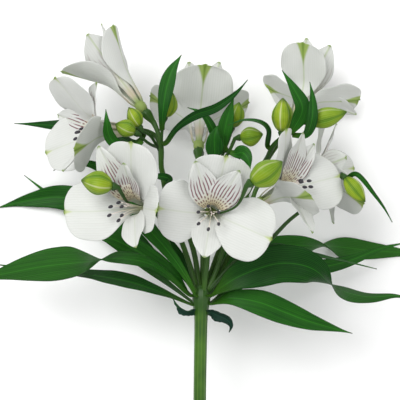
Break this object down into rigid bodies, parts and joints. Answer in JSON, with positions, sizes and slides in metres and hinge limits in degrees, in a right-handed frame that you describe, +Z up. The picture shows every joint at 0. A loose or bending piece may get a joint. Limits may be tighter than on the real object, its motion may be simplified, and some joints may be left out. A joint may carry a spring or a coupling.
{
  "type": "alstroemeria stem",
  "caption": "Cut alstroemeria stem lying down: leafy whorl, an umbel of open white flowers with green-tipped tepals, buds and small leaves.",
  "frame": {"origin": "centre of the bounding box seen from above, on the surface that the stem lies on", "axes": "+Y along the stem from its cut end to the flowers, +Z up from the surface, +X to the right of the picture"},
  "size_m": [0.2422, 0.4741, 0.1114],
  "materials": {
    "tepal_white": "soft matt white petal, green at the tips",
    "stamen_dark": "pale filaments with dark grey-purple anthers",
    "stem_green": "smooth waxy green",
    "leaf_green": "satin, with parallel veins",
    "bract_green": "satin, with parallel veins",
    "bud_green": "satin yellow-green with darker stripes",
    "withered_green": "matt, dry and wrinkled"
  },
  "bodies": {
    "root": {"back_flower_stamens": "stamen_dark", "back_flower_tepals": "tepal_white", "bract_arc_right": "bract_green", "bract_arching": "bract_green", "bract_far_left": "bract_green", "bract_far_right": "bract_green", "bract_left_dark": "bract_green", "bract_left_front": "bract_green", "bract_middle_curled": "bract_green", "bract_middle_dark": "bract_green", "bract_middle_front": "bract_green", "bract_middle_low": "bract_green", "bract_middle_small": "bract_green", "bract_right_narrow": "bract_green", "bract_right_tall": "bract_green", "bract_top_left": "bract_green", "bud_far_right": "bud_green", "bud_left_cluster_a": "bud_green", "bud_left_cluster_b": "bud_green", "bud_left_front": "bud_green", "bud_middle_striped": "bud_green", "bud_middle_upper": "bud_green", "bud_right_front": "bud_green", "bud_right_round": "bud_green", "bud_right_striped": "bud_green", "bud_top_left": "bud_green", "far_left_flower_stamens": "stamen_dark", "far_left_flower_tepals": "tepal_white", "far_right_flower_stamens": "stamen_dark", "far_right_flower_tepals": "tepal_white", "leaf_back_short": "leaf_green", "leaf_left_behind": "leaf_green", "leaf_left_broad": "leaf_green", "leaf_left_low": "leaf_green", "leaf_left_rising": "leaf_green", "leaf_left_thin": "leaf_green", "leaf_left_twisted": "leaf_green", "leaf_right_back": "leaf_green", "leaf_right_big": "leaf_green", "leaf_right_low": "leaf_green", "leaf_right_thin": "leaf_green", "leaf_right_under": "leaf_green", "leaf_right_upper": "leaf_green", "left_flower_stamens": "stamen_dark", "left_flower_tepals": "tepal_white", "middle_flower_stamens": "stamen_dark", "middle_flower_tepals": "tepal_white", "right_flower_stamens": "stamen_dark", "right_flower_tepals": "tepal_white", "stem": "stem_green", "upper_left_flower_stamens": "stamen_dark", "upper_left_flower_tepals": "tepal_white", "upper_right_flower_stamens": "stamen_dark", "upper_right_flower_tepals": "tepal_white", "withered_left": "withered_green", "withered_right": "withered_green"}
  },
  "joints": []
}
